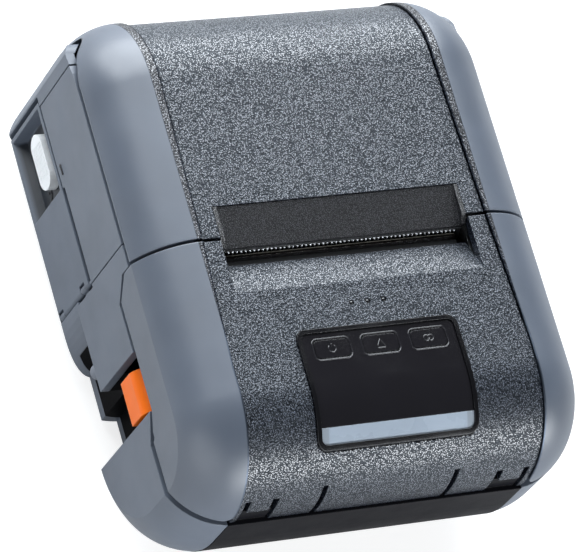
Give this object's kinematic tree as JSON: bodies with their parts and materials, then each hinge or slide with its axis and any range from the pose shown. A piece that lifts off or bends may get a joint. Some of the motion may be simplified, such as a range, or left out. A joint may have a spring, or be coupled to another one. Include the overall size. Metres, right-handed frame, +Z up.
{
  "type": "portable receipt printer",
  "caption": "Portable receipt printer with a hinged roll cover, a serrated tear bar, a glossy key panel, an orange release lever and a latched battery door.",
  "frame": {"origin": "centre of the base, on the surface that the printer stands on", "axes": "+X to the right across the case, +Y from the front end to the hinge at the rear, +Z up"},
  "size_m": [0.0992, 0.121, 0.061],
  "materials": {
    "black_plastic": "satin",
    "side_plastic": "matte",
    "grained_plastic": "grained",
    "bumper_plastic": "satin",
    "steel": "satin",
    "aluminium": "satin",
    "ceramic": "gloss",
    "gear_plastic": "satin",
    "brass": "satin",
    "board": "satin",
    "gloss_black": "gloss",
    "silver_plastic": "satin",
    "clear_plastic": "clear",
    "orange_plastic": "satin",
    "white_plastic": "satin",
    "rubber": "matte"
  },
  "bodies": {
    "case": {"bottom_case": "black_plastic", "left_side_case": "side_plastic", "right_side_case": "side_plastic", "recess_liner": "black_plastic", "mid_frame": "black_plastic", "front_cover": "grained_plastic", "left_bumper": "bumper_plastic", "right_bumper": "bumper_plastic", "roll_tray": "black_plastic", "head_frame": "steel", "print_head": "ceramic", "heat_sink": "aluminium", "head_springs": "steel", "stepper_motor": "steel", "idler_stud": "steel", "main_board": "board", "connector_board": "board", "usb_jack": "steel", "power_jack": "gloss_black", "battery_pack": "black_plastic", "battery_contacts": "black_plastic", "door_pin": "steel", "cover_pin": "steel", "panel_rim": "gloss_black", "panel_window": "gloss_black", "panel_bar": "silver_plastic", "panel_board": "board", "light_guides": "clear_plastic", "lever_studs": "steel", "strap_post": "silver_plastic", "paper_sensor": "black_plastic", "hinge_pin": "steel", "hinge_spring": "steel", "rubber_feet": "rubber", "case_screws": "steel"},
    "roll_cover": {"roll_cover": "grained_plastic", "cover_left_bumper": "bumper_plastic", "cover_right_bumper": "bumper_plastic", "cover_frame": "black_plastic", "exit_hood": "grained_plastic", "tear_bar": "steel", "platen_bushes": "gear_plastic"},
    "platen": {"platen_shaft": "steel", "platen_rubber": "rubber", "platen_gear": "gear_plastic"},
    "idler": {"idler_gear": "gear_plastic"},
    "pinion": {"motor_pinion": "brass"},
    "lever": {"release_lever": "orange_plastic", "lever_spring": "steel"},
    "door": {"battery_door": "side_plastic"},
    "latch": {"battery_latch": "white_plastic"},
    "connector_door": {"connector_cover": "side_plastic"},
    "key_left": {"power_key": "gloss_black"},
    "key_middle": {"feed_key": "gloss_black"},
    "key_right": {"link_key": "gloss_black"}
  },
  "joints": [
    {"name": "cover_hinge", "type": "hinge", "parent": "case", "child": "roll_cover", "pos_m": [0, 0.0579, 0.0295], "axis": [-1, 0, 0], "range_deg": [0, 90]},
    {"name": "platen_spin", "type": "hinge", "parent": "roll_cover", "child": "platen", "pos_m": [0, 0.0005, 0.051], "axis": [1, 0, 0], "continuous": true},
    {"name": "idler_spin", "type": "hinge", "parent": "case", "child": "idler", "pos_m": [0, -0.00413, 0.03864], "axis": [1, 0, 0], "continuous": true},
    {"name": "pinion_spin", "type": "hinge", "parent": "case", "child": "pinion", "pos_m": [0, -0.00869, 0.02885], "axis": [1, 0, 0], "continuous": true},
    {"name": "lever_slide", "type": "slide", "parent": "case", "child": "lever", "axis": [0, 0, 1], "range_m": [0, 0.0022], "stiffness_N_per_m": 150, "deforming": ["lever_spring"]},
    {"name": "door_hinge", "type": "hinge", "parent": "case", "child": "door", "pos_m": [-0.0487, 0.00425, 0.018], "axis": [0, 0, 1], "range_deg": [0, 100]},
    {"name": "latch_slide", "type": "slide", "parent": "door", "child": "latch", "axis": [0, 1, 0], "range_m": [0, 0.0024]},
    {"name": "connector_hinge", "type": "hinge", "parent": "case", "child": "connector_door", "pos_m": [-0.0483, 0.026, 0.047], "axis": [0, 1, 0], "range_deg": [0, 90]},
    {"name": "key_left_press", "type": "slide", "parent": "case", "child": "key_left", "axis": [0, 0, -1], "range_m": [0, 0.0004], "stiffness_N_per_m": 250},
    {"name": "key_middle_press", "type": "slide", "parent": "case", "child": "key_middle", "axis": [0, 0, -1], "range_m": [0, 0.0004], "stiffness_N_per_m": 250},
    {"name": "key_right_press", "type": "slide", "parent": "case", "child": "key_right", "axis": [0, 0, -1], "range_m": [0, 0.0004], "stiffness_N_per_m": 250}
  ],
  "couplings": [
    {"joint": "idler_spin", "follows": "platen_spin", "ratio": -0.83333},
    {"joint": "pinion_spin", "follows": "platen_spin", "ratio": 1.6667}
  ]
}
